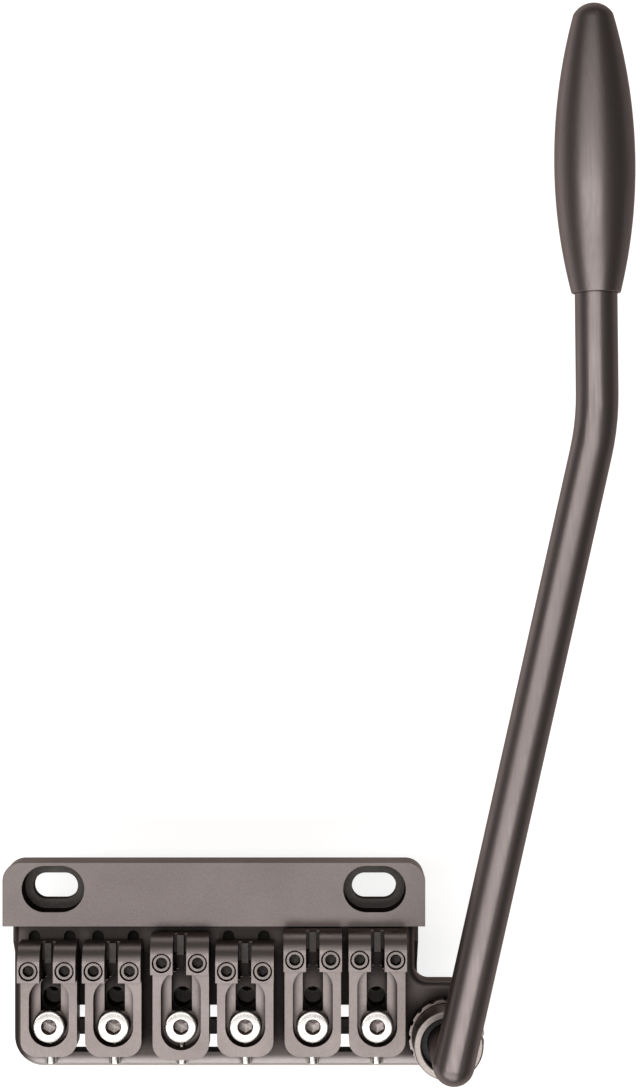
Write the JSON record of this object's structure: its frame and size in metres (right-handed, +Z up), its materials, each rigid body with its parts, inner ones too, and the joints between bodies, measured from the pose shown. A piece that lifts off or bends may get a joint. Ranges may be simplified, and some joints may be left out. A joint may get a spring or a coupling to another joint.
{
  "type": "guitar tremolo bridge",
  "caption": "Tremolo bridge for an electric guitar: a hinged plate with sliding string saddles, a slotted mounting flange, return springs and a swinging arm with a tapered tip.",
  "frame": {"origin": "midway between the two mounting slots, on the underside of the flange, at the guitar's top", "axes": "+X to the treble side, +Y along the strings to the neck, +Z up out of the guitar"},
  "size_m": [0.098, 0.166, 0.058],
  "materials": {
    "satin_grey": "satin",
    "saddle_grey": "satin",
    "arm_grey": "satin",
    "polished_steel": "polished",
    "plain_steel": "satin",
    "dark_steel": "satin",
    "spring_steel": "satin",
    "brass": "satin",
    "dark_nylon": "matte"
  },
  "bodies": {
    "base": {"mounting_flange": "satin_grey", "axle_block_left": "plain_steel", "axle_block_right": "plain_steel", "axle_block_screws": "plain_steel", "pivot_axle": "plain_steel", "side_rail_left": "dark_steel", "side_rail_right": "dark_steel", "rail_screws": "plain_steel", "spring_bar": "dark_steel", "spring_bar_screws": "plain_steel", "spring_tension_screws": "plain_steel", "spring_cups": "plain_steel", "spring_left": "spring_steel", "spring_right": "spring_steel"},
    "tremolo": {"tremolo_plate": "satin_grey", "pivot_bush_left": "brass", "pivot_bush_right": "brass", "string_block": "dark_steel", "block_screws": "plain_steel", "clamp_screws": "polished_steel", "arm_socket": "satin_grey", "arm_bush": "dark_nylon", "socket_nut": "plain_steel"},
    "tension_ring": {"tension_ring": "satin_grey"},
    "arm": {"tremolo_arm": "arm_grey", "arm_tip": "arm_grey", "arm_clip": "plain_steel"},
    "saddle_1": {"saddle_1": "saddle_grey", "intonation_screw_1": "polished_steel"},
    "height_screws_1": {"height_screws_1": "dark_steel"},
    "saddle_2": {"saddle_2": "saddle_grey", "intonation_screw_2": "polished_steel"},
    "height_screws_2": {"height_screws_2": "dark_steel"},
    "saddle_3": {"saddle_3": "saddle_grey", "intonation_screw_3": "polished_steel"},
    "height_screws_3": {"height_screws_3": "dark_steel"},
    "saddle_4": {"saddle_4": "saddle_grey", "intonation_screw_4": "polished_steel"},
    "height_screws_4": {"height_screws_4": "dark_steel"},
    "saddle_5": {"saddle_5": "saddle_grey", "intonation_screw_5": "polished_steel"},
    "height_screws_5": {"height_screws_5": "dark_steel"},
    "saddle_6": {"saddle_6": "saddle_grey", "intonation_screw_6": "polished_steel"},
    "height_screws_6": {"height_screws_6": "dark_steel"}
  },
  "joints": [
    {"name": "tremolo_pivot", "type": "hinge", "parent": "base", "child": "tremolo", "pos_m": [0, -0.0039, 0.0025], "axis": [1, 0, 0], "range_deg": [-10, 3], "stiffness_Nm_per_rad": 8, "deforming": ["spring_left", "spring_right"]},
    {"name": "arm_swing", "type": "hinge", "parent": "tremolo", "child": "arm", "pos_m": [0.03745, -0.0238, 0.008], "axis": [0, 0, 1], "continuous": true},
    {"name": "tension_ring_turn", "type": "hinge", "parent": "tremolo", "child": "tension_ring", "pos_m": [0.03745, -0.0238, 0.006], "axis": [0, 0, 1], "continuous": true},
    {"name": "saddle_1_slide", "type": "slide", "parent": "tremolo", "child": "saddle_1", "axis": [0, 1, 0], "range_m": [-0.0012, 0]},
    {"name": "height_screws_1_lift", "type": "slide", "parent": "saddle_1", "child": "height_screws_1", "axis": [0, 0, 1], "range_m": [0, 0.0015]},
    {"name": "saddle_2_slide", "type": "slide", "parent": "tremolo", "child": "saddle_2", "axis": [0, 1, 0], "range_m": [-0.0012, 0]},
    {"name": "height_screws_2_lift", "type": "slide", "parent": "saddle_2", "child": "height_screws_2", "axis": [0, 0, 1], "range_m": [0, 0.0015]},
    {"name": "saddle_3_slide", "type": "slide", "parent": "tremolo", "child": "saddle_3", "axis": [0, 1, 0], "range_m": [-0.0012, 0]},
    {"name": "height_screws_3_lift", "type": "slide", "parent": "saddle_3", "child": "height_screws_3", "axis": [0, 0, 1], "range_m": [0, 0.0015]},
    {"name": "saddle_4_slide", "type": "slide", "parent": "tremolo", "child": "saddle_4", "axis": [0, 1, 0], "range_m": [-0.0012, 0]},
    {"name": "height_screws_4_lift", "type": "slide", "parent": "saddle_4", "child": "height_screws_4", "axis": [0, 0, 1], "range_m": [0, 0.0015]},
    {"name": "saddle_5_slide", "type": "slide", "parent": "tremolo", "child": "saddle_5", "axis": [0, 1, 0], "range_m": [-0.0012, 0]},
    {"name": "height_screws_5_lift", "type": "slide", "parent": "saddle_5", "child": "height_screws_5", "axis": [0, 0, 1], "range_m": [0, 0.0015]},
    {"name": "saddle_6_slide", "type": "slide", "parent": "tremolo", "child": "saddle_6", "axis": [0, 1, 0], "range_m": [-0.0012, 0]},
    {"name": "height_screws_6_lift", "type": "slide", "parent": "saddle_6", "child": "height_screws_6", "axis": [0, 0, 1], "range_m": [0, 0.0015]}
  ]
}
